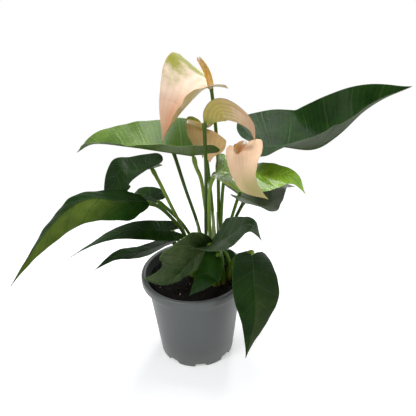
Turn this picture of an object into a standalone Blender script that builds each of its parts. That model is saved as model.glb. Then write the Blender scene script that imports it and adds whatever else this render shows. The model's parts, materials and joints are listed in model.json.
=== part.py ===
"""Potted anthurium: a nursery pot of potting soil with leaves and flowers on separate stems.

Frame: Z up, origin on the pot's axis at the surface it stands on, -Y to the front.
Sizes below are millimetres; the mesh is written in metres.
"""
import math

import bmesh
import bpy
import numpy as np

MM = 0.001

POT_HEIGHT = 108.0
RIM_RADIUS = 60.0
RIM_INNER_RADIUS = 54.6
RIM_DROP = 9.6
SHOULDER_RADIUS = 53.6
BASE_RADIUS = 43.0
WALL = 1.6
FOOT_LIFT = 3.6
FOOT_COUNT = 8
PAD_RADIUS = 16.0
POT_COLUMNS = 48

SOIL_TOP = 96.0
SOIL_GAP = 0.35

LEAF_THICKNESS = 0.8
BLADE_ROWS = 10
BLADE_COLUMNS = 3
STEM_RINGS = 14
STEM_SIDES = 6
STEM_GAP = 0.5

# Half outline of an anthurium blade, from the notch where the stem joins round the lobe to the tip:
# (along the midrib / length, aside / half width).
HEART = [(0.0, 0.0), (-0.10, 0.13), (-0.185, 0.36), (-0.175, 0.68), (-0.06, 0.94), (0.12, 1.0),
         (0.36, 0.86), (0.60, 0.55), (0.80, 0.25), (0.92, 0.08), (1.0, 0.0)]
LOBE = 0.185

# Stem radii from the soil to the blade.
LEAF_STEM_RADII = (2.3, 1.6, 1.5, 1.7)
FLOWER_STEM_RADII = (2.1, 1.7, 1.6, 1.6)
SPADIX_RADII = (2.6, 2.9, 2.5, 1.6)


def rooted(stem):
    """A stem's points with its foot made upright, just clear of the soil."""
    (x, y), *rest = stem
    upright = min(14.0, 0.4 * (rest[0][2] - SOIL_TOP))
    return [(x, y, SOIL_TOP + STEM_GAP), (x, y, SOIL_TOP + upright), *rest]


# Each leaf: name, look, stem (foot on the soil, then points up to the blade) and blade.
# The blade's rib runs from the stem to the tip; right and left are the folds of its halves in degrees
# at the lobes, the middle and the tip, counted up from flat.
LEAVES = [
    # broad young leaf, upper left
    ("leaf_1", "leaf_young",
     [(25.2, 0.9), (16, 0, 180), (12, 2, 220), (7, 5, 235), (4.7, 8.3, 245.5)],
     dict(rib=[(4, 8, 247), (-25, 7, 253), (-61, 13, 257), (-98, 21, 258), (-120, 32, 244)],
          face=(0, -0.08, 1), twist=5, width=42,
          right=(28, 22, 42), left=(51, 33, 36),
          lobe=(0.4, 1.2), narrow=(1.06, 1.08))),
    # largest leaf, reaching right
    ("leaf_2", "leaf_dark",
     [(29.1, 21.2), (44, 21, 163), (54, 22, 196), (69, 28, 229), (76.4, 30.8, 242.7)],
     dict(rib=[(79, 30, 244), (99, 33, 243), (133, 34, 238), (158, 44, 251),
               (194, 48, 284), (242, 68, 293)],
          face=(0.01, 0.01, 1), twist=-26, width=60,
          right=(7, 66, 45), left=(-1, 20, 33),
          lobe=(0.61, 0.61), narrow=(1.01, 1.11))),
    # young glossy leaf, right
    ("leaf_3", "leaf_young",
     [(18.8, -11.1), (19, -19, 183), (19, -20, 204), (21, -18, 225), (26.3, -15, 237.7)],
     dict(rib=[(27, -16, 239), (67, -22, 237), (101, -26, 236), (115, -32, 220)],
          face=(-0.01, -0.03, 1), twist=-19, width=30.5,
          right=(32, -8, -3), left=(16, -7, 16),
          lobe=(0.39, 0.39), narrow=(1.04, 1.07))),
    # leaf under the young one, right rear
    ("leaf_4", "leaf_dark",
     [(34.9, 25.8), (42, 29, 138), (48, 29, 156), (58.8, 24.1, 183.4)],
     dict(rib=[(58, 24, 186), (81, 33, 171), (97, 49, 189), (121, 68, 175)],
          face=(0, 0.1, 0.99), twist=-11, width=30.5,
          right=(-1, 15, -26), left=(29, 29, 3),
          lobe=(1.54, 1.54), narrow=(0.99, 1.1))),
    # small leaf over the front right
    ("leaf_5", "leaf_dark",
     [(32.3, -9.6), (34, -17, 145), (33.9, -21.6, 159.9)],
     dict(rib=[(29, -22, 158), (44, -30, 177), (60, -37, 190), (72, -40, 171)],
          face=(0.01, 0.19, 0.98), twist=-17, width=23.5,
          right=(31, -14, -16), left=(20, 34, -4),
          lobe=(0.4, 0.4), narrow=(1.16, 0.97))),
    # wide leaf lying over the front rim
    ("leaf_6", "leaf_dark",
     [(23.2, -13.3), (25, -16, 139), (25.7, -16.6, 148.1)],
     dict(rib=[(23, -19, 152), (3, -26, 144), (-21, -33, 120), (-34, -41, 126), (-51, -48, 133)],
          face=(-0.15, -0.72, 0.68), twist=0, width=34.5,
          right=(77, 49, 16), left=(-37, -32, -21),
          lobe=(0.3, 0.3), narrow=(1.2, 0.32))),
    # small leaf at the front
    ("leaf_7", "leaf_young",
     [(27.3, -11.7), (28, -20, 130), (27.8, -36.9, 155)],
     dict(rib=[(25, -40, 152), (16, -43, 136), (9, -51, 131), (-5, -58, 117)],
          face=(-0.01, -0.19, 0.98), twist=10, width=18.5,
          right=(-3, -7, 3), left=(29, -4, -5),
          lobe=(0.59, 0.59), narrow=(0.98, 1.09))),
    # leaf hanging over the rim, front right
    ("leaf_8", "leaf_dark",
     [(39.3, -2.1), (45, -10, 128), (52, -21, 142), (62, -38.4, 156.3)],
     dict(rib=[(62, -42, 155), (63, -60, 130), (63, -72, 98), (53, -82, 50)],
          face=(0.5, -0.78, 0.38), twist=-4, width=28,
          right=(29, -7, 2), left=(-31, 24, -16),
          curl=(-5, -19), lobe=(0.3, 0.3), narrow=(0.87, 1.15))),
    # long leaf, left
    ("leaf_9", "leaf_dark",
     [(5.9, 5.5), (-10, 1, 158), (-23, -5, 183), (-34, -8, 197), (-45, -12.3, 204.8)],
     dict(rib=[(-45, -13, 206), (-74, -25, 215), (-99, -38, 225), (-123, -51, 217),
               (-154, -59, 183), (-182, -68, 145)],
          face=(0, 0.02, 1), twist=-7, width=28,
          right=(13, -12, -9), left=(-9, -37, -29),
          lobe=(-0.01, -0.01), narrow=(1.05, 0.95))),
    # upper left leaf, bent down
    ("leaf_10", "leaf_dark",
     [(2.1, 8.3), (-12, 11, 159), (-23, 15, 186), (-34, 24, 209), (-41.3, 31, 221.6)],
     dict(rib=[(-43, 33, 222), (-66, 32, 220), (-77, 29, 220), (-91, 27, 187), (-89, 27, 160)],
          face=(0, 0.2, 0.98), twist=37, width=26.5,
          right=(31, 9, 6), left=(25, -20, -14),
          lobe=(0.73, 0.73), narrow=(0.98, 1.07))),
    # small leaf, left rear
    ("leaf_11", "leaf_dark",
     [(9.4, 16.1), (-7, 24, 147), (-24, 31, 167), (-37.8, 35.1, 178.4)],
     dict(rib=[(-40, 37, 180), (-49, 48, 180), (-65, 57, 178), (-79, 67, 160)],
          face=(0, -0.04, 1), twist=3, width=14,
          right=(22, 17, 12), left=(3, -8, 0),
          lobe=(0.62, 0.62), narrow=(1.02, 0.97))),
    # narrow leaf, lower left
    ("leaf_12", "leaf_dark",
     [(-2.5, 4.8), (-16, 8, 143), (-21.2, 9.6, 153)],
     dict(rib=[(-26, 10, 156), (-60, 10, 158), (-89, 12, 152), (-120, 14, 135), (-142, 16, 120)],
          face=(0, -0.04, 1), twist=-4, width=15,
          right=(11, 10, -3), left=(-25, -14, 2),
          lobe=(0.7, 0.7), narrow=(1.02, 0.98))),
    # lowest leaf, left
    ("leaf_13", "leaf_dark",
     [(1.8, -3.6), (-13, 3, 134), (-22.9, 8.9, 140.7)],
     dict(rib=[(-27, 9, 141), (-58, 7, 130), (-87, 3, 129), (-113, 0, 112)],
          face=(0, 0.19, 0.98), twist=22, width=16,
          right=(5, 3, 12), left=(11, 4, -13),
          lobe=(0.7, 0.7), narrow=(1.02, 1.04))),
    # small leaf by the stems, right
    ("leaf_14", "leaf_young",
     [(42.3, 2.5), (38, 12, 119), (33.6, 19.2, 117.6)],
     dict(rib=[(37, 16, 115), (43, 12, 110), (47, 8, 105), (50, 3, 101)],
          face=(0.17, -0.51, 0.85), twist=0, width=10,
          right=(10, 5, 0), left=(10, 5, 0),
          lobe=(0.7, 0.7))),
    # rear leaf
    ("leaf_15", "leaf_dark",
     [(13.9, 13.1), (6, 19, 156), (-6, 29, 196), (-14, 40, 222), (-18.8, 46.4, 237.9)],
     dict(rib=[(-17, 48, 240), (-6, 62, 246), (8, 76, 237), (14, 86, 207)],
          face=(0, -0.1, 1), twist=0, width=18,
          right=(10, 10, 0), left=(10, 10, 0),
          lobe=(0.7, 0.7))),
]

# Each flower: name, look, stem, spathe and spadix.
FLOWERS = [
    # tallest flower, left
    ("flower_1", "spathe_peach",
     [(28.7, 14.4), (29, 16, 142), (30, 21, 227), (28, 23, 277), (24.6, 26.4, 314.1)],
     dict(rib=[(23, 24, 316), (5, 6, 312), (-14, -5, 296), (-25, -13, 273)],
          face=(0.04, -0.95, 0.31), twist=-1, width=44,
          right=(-35, -6, 0), left=(-87, -80, -42),
          lobe=(0.16, 0.16), narrow=(0.98, 0.54)),
     [(24.4, 21.3, 316.9), (20.3, 18.8, 332.5), (12.8, 8.1, 348.4)]),
    # hooded flower, centre
    ("flower_2", "spathe_green",
     [(14.6, -2), (15, -7, 170), (17, -18, 237), (17, -26, 277), (17, -29.7, 296.2)],
     dict(rib=[(18, -27, 295), (24, -25, 309), (42, -22, 311), (62, -17, 289), (66, -12, 266)],
          face=(0.77, 0.64, -0.01), twist=-17, width=19.5,
          right=(40, 27, 8), left=(47, 33, 24),
          lobe=(-0.19, -0.19), narrow=(1, 1.03)),
     [(21.3, -24.1, 294.3), (29.6, -18.2, 300.6), (38, -11.1, 300)]),
    # flower behind the centre
    ("flower_3", "spathe_peach",
     [(25.4, 18.5), (23, 18, 168), (19, 17, 213), (13, 11, 251), (8, 3, 269), (3.7, -9, 287.8)],
     dict(rib=[(2, -11, 284), (15, 1, 268), (26, 3, 259), (39, 1, 254)],
          face=(-0.28, -0.94, 0.19), twist=0, width=20,
          right=(10, 5, 0), left=(-10, -10, 0),
          lobe=(0.4, 0.4), narrow=(1, 0.9)),
     [(3.2, -15.6, 281), (1.5, -15.9, 293.2), (2.5, -21.6, 299.9)]),
    # hanging flower, right
    ("flower_4", "spathe_peach",
     [(29.1, 6.7), (31, 12, 148), (35, 20, 204), (41, 22, 227), (44, 17, 244), (47.4, -10.7, 264.3)],
     dict(rib=[(49, -18, 262), (51, -38, 249), (56, -56, 242), (74, -70, 236)],
          face=(-0.28, -0.95, 0.16), twist=-8, width=20.5,
          right=(-4, -12, 0), left=(-11, 17, -1),
          lobe=(0.6, 0.6), narrow=(0.67, 1.2)),
     [(47.5, -19, 264.2), (50.7, -22.6, 270.6), (55.1, -32.8, 277.5)]),
]

# Young sheaths standing among the stems: foot, tip, radius at the foot.
SHEATHS = [
    ("sheath_1", (20.7, 7.2), (24, 14, 177), 2.6),
    ("sheath_2", (30, -4.3), (27, -6, 187), 2.3),
    ("sheath_3", (12, 8.1), (5, 7, 169), 2.2),
]

COLOURS = {
    "pot_grey": ((0.23, 0.25, 0.26), 0.45),
    "soil_dark": ((0.03, 0.02, 0.015), 0.95),
    "leaf_dark": ((0.03, 0.11, 0.03), 0.32),
    "leaf_young": ((0.16, 0.34, 0.05), 0.30),
    "stem_green": ((0.10, 0.20, 0.05), 0.45),
    "sheath_green": ((0.30, 0.38, 0.18), 0.50),
    "spathe_peach": ((0.72, 0.50, 0.35), 0.40),
    "spathe_green": ((0.45, 0.42, 0.14), 0.40),
    "spadix_yellow": ((0.70, 0.42, 0.10), 0.60),
}


def unit(v):
    return v / np.linalg.norm(v)


def smooth_path(points, count):
    """Points at even steps along a smooth curve through the given ones, and its length."""
    p = np.asarray(points, float)
    ends = np.vstack([2 * p[0] - p[1], p, 2 * p[-1] - p[-2]])
    t = np.linspace(0, 1, 12, endpoint=False)[None, :, None]
    a, b, c, d = [ends[k:k + len(p) - 1][:, None, :] for k in range(4)]
    fine = 0.5 * (2 * b + (c - a) * t + (2 * a - 5 * b + 4 * c - d) * t ** 2
                  + (3 * b - a - 3 * c + d) * t ** 3)
    fine = np.vstack([fine.reshape(-1, 3), p[-1]])
    reach = np.concatenate([[0], np.cumsum(np.linalg.norm(np.diff(fine, axis=0), axis=1))])
    at = np.linspace(0, reach[-1], count)
    return np.stack([np.interp(at, reach, fine[:, k]) for k in range(3)], 1), reach[-1]


def midrib_frames(path, face, twist):
    """Tangent, side and normal along the midrib: carried along it without turning, plus an even twist."""
    tangent = np.gradient(path, axis=0)
    tangent /= np.linalg.norm(tangent, axis=1)[:, None]
    side = unit(np.cross(tangent[0], unit(np.asarray(face, float))))
    sides = [side]
    for t in tangent[1:]:
        side = unit(side - t * (side @ t))
        sides.append(side)
    sides = np.array(sides)
    normal = np.cross(sides, tangent)
    turn = math.radians(twist) * np.linspace(0, 1, len(path))
    c, s = np.cos(turn)[:, None], np.sin(turn)[:, None]
    return tangent, sides * c + normal * s, normal * c - sides * s


def half_blade(rib, face, twist, side, width, folds, curl, lobe):
    """Grid of points over one half of a blade, its rows following the side veins from midrib to margin."""
    path, length = smooth_path(rib, 41)
    frames = midrib_frames(path, face, twist)
    steps = np.linspace(0, 1, 41)
    outline, _ = smooth_path([(x, y / 2, 0) for x, y in HEART], BLADE_ROWS + 1)
    outline[0], outline[-1] = (0, 0, 0), (1, 0, 0)
    x = np.where(outline[:, 0] < 0, outline[:, 0] * lobe, outline[:, 0])
    root = np.maximum(0, (outline[:, 0] + LOBE) / (1 + LOBE)) ** 1.9
    root[:np.argmin(outline[:, 0]) + 1] = 0
    v = np.linspace(0, 1, BLADE_COLUMNS + 1)
    along = root[:, None] + (x - root)[:, None] * v ** 1.15
    aside = outline[:, 1][:, None] * 2 * v

    def at(values):
        return np.stack([np.interp(np.clip(along, 0, 1), steps, values[:, k]) for k in range(3)], -1)

    centre, tangent, across, normal = at(path), *[at(f) for f in frames]
    centre = centre + tangent * (np.minimum(along, 0) * length)[..., None]
    fold = np.radians(np.interp(along, [-0.15, 0.4, 1.0], folds))
    bend = math.radians(curl) if curl else 1e-4
    out = width / bend * (np.sin(fold + bend * aside) - np.sin(fold))
    up = -width / bend * (np.cos(fold + bend * aside) - np.cos(fold))
    return centre + across * (side * out)[..., None] + normal * up[..., None]


def blade_mesh(name, rib, face, twist, width, right, left, curl=(0, 0), lobe=(1, 1), narrow=(1, 1)):
    """A heart-shaped blade of even thickness, folded along its midrib."""
    bm = bmesh.new()
    for side, folds, k in ((1, right, 0), (-1, left, 1)):
        grid = half_blade(rib, face, twist, side, width * narrow[k], folds, curl[k], lobe[k])
        rows = [[bm.verts.new(p * MM) for p in row] for row in grid]
        for low, high in zip(rows, rows[1:]):
            for a, b, c, d in zip(low, low[1:], high[1:], high):
                if (a.co - c.co).length < (b.co - d.co).length:
                    halves = ((a, b, c), (a, c, d))
                else:
                    halves = ((a, b, d), (b, c, d))
                for half in halves:
                    bm.faces.new(half if side > 0 else half[::-1])
    bmesh.ops.remove_doubles(bm, verts=bm.verts, dist=0.00002)
    bm.normal_update()
    half = {v: v.normal * (LEAF_THICKNESS / 2 * MM) for v in bm.verts}
    sheet = list(bm.verts)
    faces = [list(f.verts) for f in bm.faces]
    edges = [e for e in bm.edges if e.is_boundary]
    border = [(loop.vert, loop.link_loop_next.vert) for e in edges for loop in e.link_loops]
    under = {v: bm.verts.new(v.co - half[v]) for v in sheet}
    for v in sheet:
        v.co += half[v]
    for verts in faces:
        bm.faces.new([under[v] for v in reversed(verts)])
    for a, b in border:
        bm.faces.new((b, a, under[a], under[b]))
    return finish(bm, name)


def tube_mesh(name, points, radii, rings=STEM_RINGS, sides=STEM_SIDES):
    """A round stem along a smooth curve, closed at both ends."""
    path, _ = smooth_path(points, rings)
    tangent = np.gradient(path, axis=0)
    tangent[0] = np.subtract(points[1], points[0])
    tangent[-1] = np.subtract(points[-1], points[-2])
    tangent /= np.linalg.norm(tangent, axis=1)[:, None]
    side = unit(np.cross(tangent[0], (0, 1, 0) if abs(tangent[0][1]) < 0.9 else (1, 0, 0)))
    radius = np.interp(np.linspace(0, 1, rings), np.linspace(0, 1, len(radii)), radii)
    turns = [2 * math.pi * k / sides for k in range(sides)]
    bm = bmesh.new()
    loops = []
    for centre, t, r in zip(path, tangent, radius):
        side = unit(side - t * (side @ t))
        up = np.cross(side, t)
        ring = [side * math.cos(a) + up * math.sin(a) for a in turns]
        loops.append([bm.verts.new((centre + r * p) * MM) for p in ring])
    for low, high in zip(loops, loops[1:]):
        for k in range(sides):
            j = (k + 1) % sides
            bm.faces.new((high[k], high[j], low[j], low[k]))
    bm.faces.new(loops[0])
    bm.faces.new(reversed(loops[-1]))
    return finish(bm, name)


def lathe_mesh(name, profile, lift=lambda turn, radius, height: height):
    """A profile turned round Z; its first and last points lie on the axis."""
    bm = bmesh.new()
    turns = [2 * math.pi * k / POT_COLUMNS for k in range(POT_COLUMNS)]
    rings = []
    for r, z in profile[1:-1]:
        ring = [(r * math.cos(a), r * math.sin(a), lift(a, r, z)) for a in turns]
        rings.append([bm.verts.new(np.multiply(p, MM)) for p in ring])
    first = bm.verts.new((0, 0, profile[0][1] * MM))
    last = bm.verts.new((0, 0, profile[-1][1] * MM))
    for k in range(POT_COLUMNS):
        j = (k + 1) % POT_COLUMNS
        bm.faces.new((first, rings[0][j], rings[0][k]))
        for low, high in zip(rings, rings[1:]):
            bm.faces.new((low[k], low[j], high[j], high[k]))
        bm.faces.new((last, rings[-1][k], rings[-1][j]))
    return finish(bm, name)


def finish(bm, name):
    mesh = bpy.data.meshes.new(name)
    bm.to_mesh(mesh)
    bm.free()
    mesh.shade_smooth()
    mesh.set_sharp_from_angle(angle=math.radians(40))
    return mesh


def place(name, mesh, look):
    obj = bpy.data.objects.new(name, mesh)
    bpy.context.scene.collection.objects.link(obj)
    colour, roughness = COLOURS[look]
    material = bpy.data.materials.new(name)
    material.use_nodes = True
    shader = material.node_tree.nodes["Principled BSDF"]
    shader.inputs["Base Color"].default_value = (*colour, 1)
    shader.inputs["Roughness"].default_value = roughness
    shader.inputs["Metallic"].default_value = 0.0
    material.diffuse_color = (*colour, 1)
    mesh.materials.append(material)
    return obj


def wall_radius(height):
    """Outer radius of the tapered wall."""
    return BASE_RADIUS + (SHOULDER_RADIUS - BASE_RADIUS) * height / (POT_HEIGHT - RIM_DROP)


def foot_lift(turn, radius, height):
    """The foot ring stands on feet with shallow drainage notches between them."""
    if height > 0.01 or radius < PAD_RADIUS + 1:
        return height
    phase = (turn * FOOT_COUNT / (2 * math.pi)) % 1.0
    return FOOT_LIFT if phase < 0.34 else 0.0


def pot_profile():
    floor = 4.0
    top, lip = POT_HEIGHT, POT_HEIGHT - RIM_DROP
    return [(0, 0), (PAD_RADIUS, 0), (PAD_RADIUS + 1.2, 2.0),
            (BASE_RADIUS - 5.0, 2.0), (BASE_RADIUS - 3.6, 0),
            (BASE_RADIUS - 0.6, 0), (wall_radius(5.5), 5.5), (wall_radius(48), 48),
            (wall_radius(lip), lip), (RIM_RADIUS - 1.0, lip), (RIM_RADIUS, lip + 1.0),
            (RIM_RADIUS, top - 1.6), (RIM_RADIUS - 1.6, top), (RIM_INNER_RADIUS + 1.4, top),
            (RIM_INNER_RADIUS, top - 1.4), (wall_radius(lip) - WALL, lip - 1.0),
            (wall_radius(floor) - WALL, floor), (0, floor)]


def soil_profile():
    bottom = 4.0 + SOIL_GAP
    inner = lambda z: wall_radius(z) - WALL - SOIL_GAP
    return [(0, bottom), (inner(bottom) - 0.4, bottom), (inner(SOIL_TOP) - 0.2, SOIL_TOP - 1.0),
            (inner(SOIL_TOP) - 2.4, SOIL_TOP), (0, SOIL_TOP)]


for old in list(bpy.data.objects):
    bpy.data.objects.remove(old, do_unlink=True)

place("pot", lathe_mesh("pot", pot_profile(), foot_lift), "pot_grey")
place("soil", lathe_mesh("soil", soil_profile()), "soil_dark")

for name, look, stem, blade in LEAVES:
    place(name, blade_mesh(name, **blade), look)
    place("stem_of_" + name, tube_mesh("stem_of_" + name, rooted(stem), LEAF_STEM_RADII), "stem_green")

for name, look, stem, blade, spadix in FLOWERS:
    place(name + "_spathe", blade_mesh(name + "_spathe", **blade), look)
    spike = tube_mesh(name + "_spadix", spadix, SPADIX_RADII, rings=8, sides=8)
    place(name + "_spadix", spike, "spadix_yellow")
    place(name + "_stem", tube_mesh(name + "_stem", rooted(stem), FLOWER_STEM_RADII), "stem_green")

for name, foot, tip, radius in SHEATHS:
    path = [(foot[0], foot[1], SOIL_TOP + STEM_GAP), (foot[0], foot[1], SOIL_TOP + 14), tip]
    radii = (radius, radius * 0.9, radius * 0.55, 0.5)
    place(name, tube_mesh(name, path, radii, rings=9), "sheath_green")
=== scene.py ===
"""Potted anthurium: a young plant with glossy leaves and peach flowers in a grey nursery pot.

The plant is put together from the ground up: pot, potting mix, stalks, leaves, flowers, sheaths.
Lengths in the tables are millimetres; meshes are written in metres.
"""
import json
import random
from math import cos, exp, pi, radians, sin, sqrt

import bmesh
import bpy
import numpy as np
from mathutils import Matrix, Vector

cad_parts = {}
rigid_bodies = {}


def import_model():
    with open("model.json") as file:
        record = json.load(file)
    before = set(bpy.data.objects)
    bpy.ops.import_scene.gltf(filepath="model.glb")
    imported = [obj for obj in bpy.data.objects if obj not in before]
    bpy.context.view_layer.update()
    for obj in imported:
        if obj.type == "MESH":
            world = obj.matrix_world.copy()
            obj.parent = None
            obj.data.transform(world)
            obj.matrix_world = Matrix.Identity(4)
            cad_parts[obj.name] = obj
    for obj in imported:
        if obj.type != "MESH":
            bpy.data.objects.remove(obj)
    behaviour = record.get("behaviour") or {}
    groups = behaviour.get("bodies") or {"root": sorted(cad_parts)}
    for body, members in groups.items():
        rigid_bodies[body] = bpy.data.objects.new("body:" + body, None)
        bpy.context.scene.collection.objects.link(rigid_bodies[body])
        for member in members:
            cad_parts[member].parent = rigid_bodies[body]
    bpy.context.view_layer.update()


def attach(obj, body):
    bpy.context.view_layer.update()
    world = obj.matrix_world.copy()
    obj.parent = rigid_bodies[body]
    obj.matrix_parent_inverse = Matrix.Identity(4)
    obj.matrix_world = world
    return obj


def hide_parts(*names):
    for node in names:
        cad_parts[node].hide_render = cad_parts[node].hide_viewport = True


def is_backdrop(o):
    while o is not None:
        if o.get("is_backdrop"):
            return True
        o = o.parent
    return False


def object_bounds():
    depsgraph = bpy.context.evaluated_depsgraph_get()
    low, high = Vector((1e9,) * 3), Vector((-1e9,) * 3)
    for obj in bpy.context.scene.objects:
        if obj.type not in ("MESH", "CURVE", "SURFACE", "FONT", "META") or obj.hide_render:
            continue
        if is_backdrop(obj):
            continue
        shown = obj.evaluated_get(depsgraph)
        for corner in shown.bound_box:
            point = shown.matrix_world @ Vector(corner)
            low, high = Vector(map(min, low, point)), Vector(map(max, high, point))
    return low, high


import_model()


# ---- Room: floor, light and camera ----------------------------------------------------------
# A white studio sweep lit softly from above, from behind and a little from the left. The camera
# stands in front and looks down at the plant.
def add_node(kind, inputs=(), tree=None, **settings):
    """A node with its settings, then its inputs by name or number, each a value or another socket.

    It goes in the given tree or, without one, in that of its first linked input."""
    values = dict(inputs)
    tree = tree or next(v for v in values.values() if isinstance(v, bpy.types.NodeSocket)).id_data
    made = tree.nodes.new(kind)
    for key, value in settings.items():
        setattr(made, key, value)
    for key, value in values.items():
        socket = made.inputs[key]
        if isinstance(value, bpy.types.NodeSocket):
            tree.links.new(value, socket)
        else:
            socket.default_value = (*value, 1) if socket.type == "RGBA" else value
    return made


def wire(kind, inputs=(), tree=None, **settings):
    """The first output of a new node."""
    return add_node(kind, inputs, tree, **settings).outputs[0]


def maths(operation, a, b=0.0, c=0.0):
    return wire("ShaderNodeMath", {0: a, 1: b, 2: c}, operation=operation)


def times(a, b):
    return maths("MULTIPLY", a, b)


def ramp(value, start, end):
    """A smooth mask: 0 at start and 1 at end."""
    return wire("ShaderNodeMapRange", {"Value": value, "From Min": start, "From Max": end},
                interpolation_type="SMOOTHSTEP")


def object_place(tree):
    return add_node("ShaderNodeTexCoord", tree=tree).outputs["Object"]


def blend_shaders(share, a, b):
    return wire("ShaderNodeMixShader", {0: share, 1: a, 2: b})


def new_material(name):
    """An empty material and its tree."""
    material = bpy.data.materials.new(name)
    material.use_nodes = True
    material.node_tree.nodes.clear()
    return material, material.node_tree


def seen_directly(tree):
    """1 for what the camera sees itself, in a gloss or through something clear."""
    rays = add_node("ShaderNodeLightPath", tree=tree).outputs
    either = maths("MAXIMUM", rays["Is Camera Ray"], rays["Is Glossy Ray"])
    return maths("MAXIMUM", either, rays["Is Transmission Ray"])


def add_object(name, data, *skins):
    """An object of a mesh, a lamp or a camera, put in the scene with its materials."""
    made = bpy.data.objects.new(name, data)
    for skin in skins:
        data.materials.append(skin)
    bpy.context.scene.collection.objects.link(made)
    return made


WHITE = (1, 1, 1)
PAPER = (0.86, 0.86, 0.86)
PAPER_GLOW = 0.35
FADE_FROM, FADE_TO = 0.22, 0.5

material, tree = new_material("studio_floor")
paper = wire("ShaderNodeBsdfDiffuse", {"Color": PAPER}, tree)
glow = wire("ShaderNodeEmission", {"Color": WHITE, "Strength": PAPER_GLOW}, tree)
lifted = wire("ShaderNodeAddShader", {0: paper, 1: glow})
lit = blend_shaders(seen_directly(tree), paper, lifted)
away = add_node("ShaderNodeVectorMath", {0: object_place(tree)}, operation="LENGTH").outputs["Value"]
fade = times(ramp(away, FADE_FROM, FADE_TO), seen_directly(tree))
plain = wire("ShaderNodeEmission", {"Color": WHITE, "Strength": 1.0}, tree)
add_node("ShaderNodeOutputMaterial", {"Surface": blend_shaders(fade, lit, plain)})

floor_mesh = bpy.data.meshes.new("floor")
floor_mesh.from_pydata([(-3, -2, 0), (3, -2, 0), (3, 4, 0), (-3, 4, 0)], [], [(0, 1, 2, 3)])
floor = add_object("floor", floor_mesh, material)
floor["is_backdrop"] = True

world = bpy.data.worlds.new("studio")
bpy.context.scene.world = world
world.use_nodes = True
tree = world.node_tree
tree.nodes.clear()
room = wire("ShaderNodeBackground", {"Color": (0.93, 0.96, 1), "Strength": 0.42}, tree)
white = wire("ShaderNodeBackground", {"Color": WHITE, "Strength": 1.0}, tree)
add_node("ShaderNodeOutputWorld", {"Surface": blend_shaders(seen_directly(tree), room, white)})


def add_softbox(name, place, target, size, power):
    """A square softbox hung at a place and turned to a target."""
    lamp = bpy.data.lights.new(name, "AREA")
    lamp.size = size
    lamp.energy = power
    box = add_object(name, lamp)
    box.location = place
    box.rotation_euler = (Vector(target) - Vector(place)).to_track_quat("-Z", "Y").to_euler()


PLANT_MIDDLE = (0, 0, 0.15)
add_softbox("back light", (0.25, 0.90, 0.80), (0.03, -0.02, 0.24), 0.20, 2.8)
add_softbox("overhead", (0.1, 0.35, 1.3), PLANT_MIDDLE, 0.6, 10.0)
add_softbox("key", (-0.8, -0.7, 1.1), PLANT_MIDDLE, 0.5, 8.0)
add_softbox("fill", (0.9, -0.6, 0.6), PLANT_MIDDLE, 0.5, 2.0)

CAMERA_PLACE = (0.018, -0.534, 0.497)
CAMERA_TILT, CAMERA_ROLL = 60, -1.8
camera_data = bpy.data.cameras.new("camera")
camera_data.lens = 50
camera_data.sensor_width = 36
camera_data.clip_start = 0.02
camera = add_object("camera", camera_data)
camera.matrix_world = (Matrix.Translation(CAMERA_PLACE) @ Matrix.Rotation(radians(CAMERA_TILT), 4, "X")
                       @ Matrix.Rotation(radians(CAMERA_ROLL), 4, "Z"))
bpy.context.scene.camera = camera
bpy.context.scene.view_settings.view_transform = "Standard"


# ---- Pot -------------------------------------------------------------------------------------
# A round nursery pot, injection-moulded in blue-grey plastic: thin tapered wall, rolled rim,
# and a foot ring notched for drainage.
MM = 0.001
POT_HEIGHT = 108.0
RIM_RADIUS = 60.0
RIM_INNER_RADIUS = 54.6
RIM_DROP = 9.6
LIP = POT_HEIGHT - RIM_DROP
BASE_RADIUS = 43.0
SHOULDER_RADIUS = 53.6
WALL = 1.6
FEET = 8
FOOT_HEIGHT, FOOT_INNER_RADIUS = 9.0, 38.0
NOTCH_START, NOTCH_MIDDLE, NOTCH_HALF, NOTCH_HEIGHT = 0.07, 0.17, 0.24, 3.6
WAVE_TOP, WAVE_DEPTH = 90.0, 0.16
POT_SIDES = 240


def wall_radius(height):
    """Outer radius of the tapered wall."""
    return BASE_RADIUS + (SHOULDER_RADIUS - BASE_RADIUS) * height / LIP


def arc(centre, radius, start, end, steps):
    """Points of a rounded corner in the profile's plane."""
    turns = np.radians(np.linspace(start, end, steps))
    return [(centre[0] + radius * cos(a), centre[1] + radius * sin(a)) for a in turns]


def notch(turn):
    """0 on a foot and 1 in the middle of a drainage notch."""
    phase = (turn * FEET / (2 * pi) + NOTCH_START) % 1.0
    gap = 1 - abs(phase - NOTCH_MIDDLE) / NOTCH_HALF
    return min(1.0, max(0.0, gap * 2.2)) ** 0.7


def mesh_of(bm, name, smooth=True):
    """The mesh of a finished bmesh."""
    mesh = bpy.data.meshes.new(name)
    bm.to_mesh(mesh)
    bm.free()
    if smooth:
        mesh.shade_smooth()
    return mesh


def turned_mesh(name, rings, low, high):
    """A closed mesh through rings of points, lowest first, with a middle point at both ends."""
    bm = bmesh.new()
    loops = [[bm.verts.new(Vector(p) * MM) for p in ring] for ring in rings]
    first, last = bm.verts.new((0, 0, low * MM)), bm.verts.new((0, 0, high * MM))
    for k in range(len(rings[0])):
        j = (k + 1) % len(rings[0])
        bm.faces.new((first, loops[0][j], loops[0][k]))
        for under, over in zip(loops, loops[1:]):
            bm.faces.new((under[k], under[j], over[j], over[k]))
        bm.faces.new((last, loops[-1][k], loops[-1][j]))
    return mesh_of(bm, name)


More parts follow.
